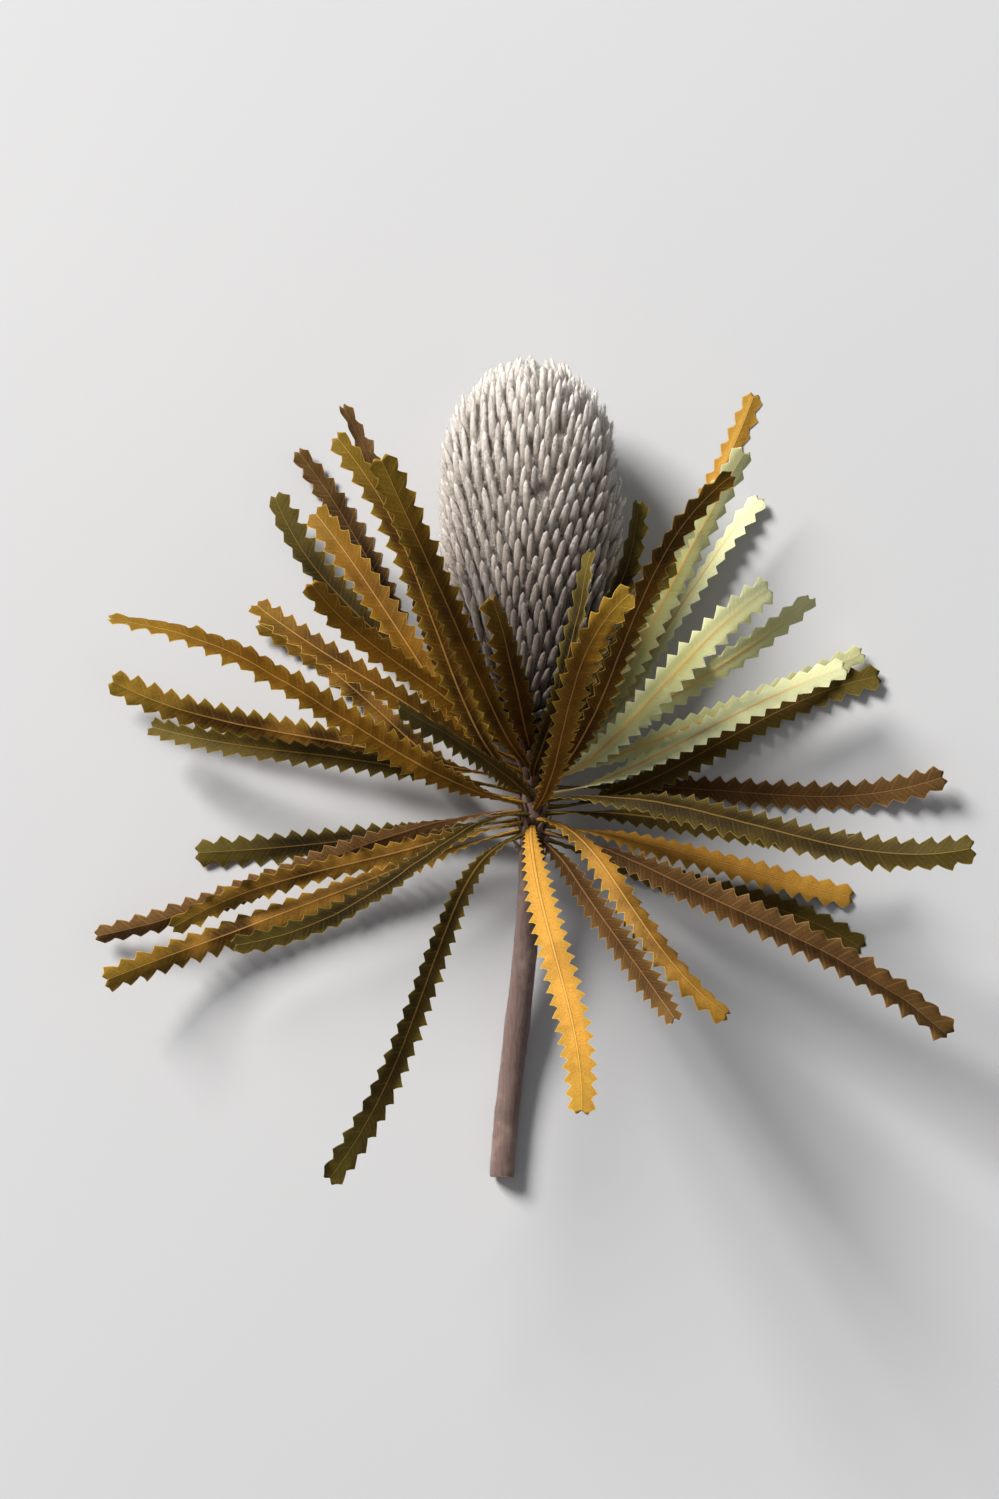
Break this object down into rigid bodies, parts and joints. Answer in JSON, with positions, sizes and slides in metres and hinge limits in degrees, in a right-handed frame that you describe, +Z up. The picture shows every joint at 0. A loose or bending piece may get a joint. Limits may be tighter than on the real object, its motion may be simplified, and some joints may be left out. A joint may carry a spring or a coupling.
{
  "type": "dried banksia cone",
  "caption": "Dried banksia as picked: a velvety grey flower cone on its woody stem, with long saw-edged leaves in gold, olive, brown and sage, lying on a surface.",
  "frame": {"origin": "middle of the flat spot under the flower cone, on the surface that the object lies on", "axes": "+Z up from that surface; +Y towards the tip of the cone, with the cut stem towards -Y; +X to the right when seen from above with the tip ahead"},
  "size_m": [0.3362, 0.322, 0.149],
  "materials": {
    "cone_velvet": "matt warm grey velvet of fine hairs, paler at the floret tips",
    "stem_bark": "matt mauve-brown bark with a short felt of hairs and a pale cut end",
    "leaf_gold": "dry leathery leaf, mustard gold, half matt",
    "leaf_olive": "dry leathery leaf, dark olive with a yellow rim, half matt",
    "leaf_brown": "dry leathery leaf, tan to brown, half matt",
    "leaf_sage": "dry leathery leaf, pale sage green with an orange midrib, half matt"
  },
  "bodies": {
    "root": {"cone": "cone_velvet", "stem": "stem_bark", "leaf_01": "leaf_gold", "leaf_02": "leaf_brown", "leaf_03": "leaf_brown", "leaf_04": "leaf_sage", "leaf_05": "leaf_gold", "leaf_06": "leaf_olive", "leaf_07": "leaf_sage", "leaf_08": "leaf_gold", "leaf_09": "leaf_sage", "leaf_10": "leaf_olive", "leaf_11": "leaf_gold", "leaf_12": "leaf_sage", "leaf_13": "leaf_gold", "leaf_14": "leaf_brown", "leaf_15": "leaf_olive", "leaf_16": "leaf_gold", "leaf_17": "leaf_sage", "leaf_18": "leaf_olive", "leaf_19": "leaf_gold", "leaf_20": "leaf_sage", "leaf_21": "leaf_gold", "leaf_22": "leaf_brown", "leaf_23": "leaf_gold", "leaf_24": "leaf_olive", "leaf_25": "leaf_sage", "leaf_26": "leaf_olive", "leaf_27": "leaf_gold", "leaf_28": "leaf_olive", "leaf_29": "leaf_gold", "leaf_30": "leaf_olive", "leaf_31": "leaf_gold", "leaf_32": "leaf_brown", "leaf_33": "leaf_olive", "leaf_34": "leaf_olive", "leaf_35": "leaf_olive", "leaf_36": "leaf_gold", "leaf_37": "leaf_gold", "leaf_38": "leaf_gold", "leaf_39": "leaf_gold", "leaf_40": "leaf_gold", "leaf_41": "leaf_brown", "leaf_42": "leaf_olive", "leaf_43": "leaf_olive", "leaf_44": "leaf_brown"}
  },
  "joints": []
}
